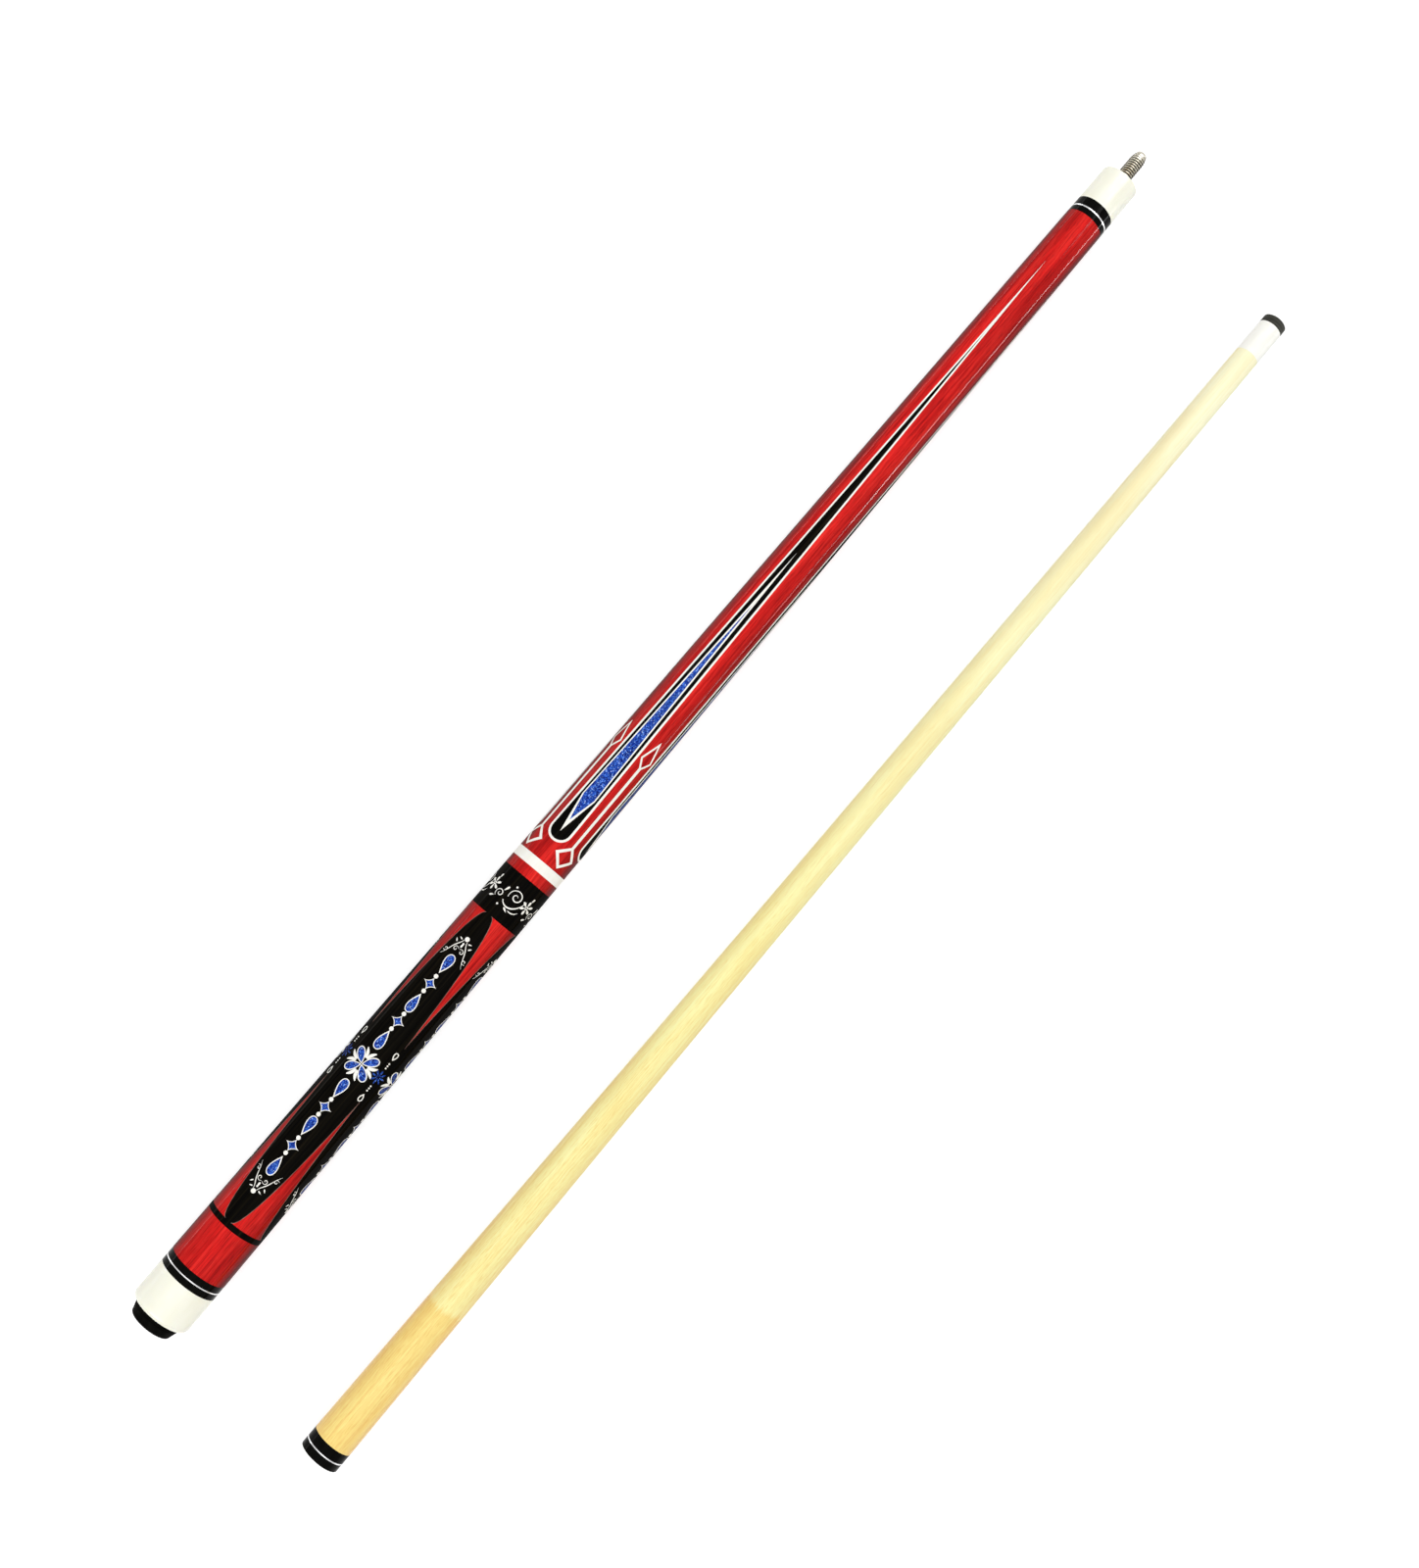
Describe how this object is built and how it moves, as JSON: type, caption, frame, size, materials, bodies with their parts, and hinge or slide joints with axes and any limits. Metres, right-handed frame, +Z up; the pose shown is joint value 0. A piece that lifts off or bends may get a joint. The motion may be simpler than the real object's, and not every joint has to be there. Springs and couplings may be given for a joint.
{
  "type": "pool cue",
  "caption": "Two-piece pool cue, unscrewed: a tapered lacquered butt with a threaded joint pin and rubber bumper, beside its maple shaft with ferrule and leather tip.",
  "frame": {"origin": "on the floor, at the middle of the box round both halves as they lie side by side", "axes": "+X along the cue towards the joint pin and the tip, +Y from the shaft towards the butt, +Z up"},
  "size_m": [0.7622, 0.1302, 0.0316],
  "materials": {
    "red_wood": "red-stained maple under high-gloss clear lacquer",
    "black_wood": "black-stained maple under high-gloss clear lacquer",
    "black_plastic": "polished black phenolic",
    "silver": "polished silver metal",
    "ivory_plastic": "polished ivory-white plastic",
    "rubber": "matte black moulded rubber",
    "steel": "threaded stainless steel",
    "maple": "clear maple, lacquered near the joint and waxed in front",
    "ferrule_plastic": "white ferrule plastic, satin polish",
    "leather": "dark pressed leather",
    "brass": "threaded brass"
  },
  "bodies": {
    "butt": {"butt_cap": "ivory_plastic", "rear_ring": "black_plastic", "rear_ring_line": "silver", "sleeve_ring": "black_plastic", "butt_sleeve": "red_wood", "sleeve_band": "black_wood", "handle": "black_wood", "scroll_band": "black_wood", "red_ring": "red_wood", "white_ring": "ivory_plastic", "handle_screw": "steel", "forearm": "red_wood", "joint_ring": "black_plastic", "joint_ring_line": "silver", "collar_ring": "black_plastic", "joint_collar": "ivory_plastic", "joint_pin": "steel"},
    "bumper": {"bumper": "rubber"},
    "weight_bolt": {"weight_bolt": "steel"},
    "shaft": {"shaft_collar": "black_plastic", "shaft_ring_line": "silver", "shaft_ring": "black_plastic", "shaft_insert": "brass", "shaft": "maple", "ferrule": "ferrule_plastic", "tip": "leather"}
  },
  "joints": [
    {"name": "shaft_turn", "type": "hinge", "parent": "butt", "child": "shaft", "pos_m": [-0.37764, -0.05183, 0.01065], "axis": [0.9999, -0.0093, -0.0057], "continuous": true},
    {"name": "bumper_pull", "type": "slide", "parent": "butt", "child": "bumper", "axis": [-1, 0, 0.007], "range_m": [0, 0.03]},
    {"name": "weight_bolt_travel", "type": "slide", "parent": "butt", "child": "weight_bolt", "axis": [-1, 0, 0.007], "range_m": [0, 0.012]}
  ]
}
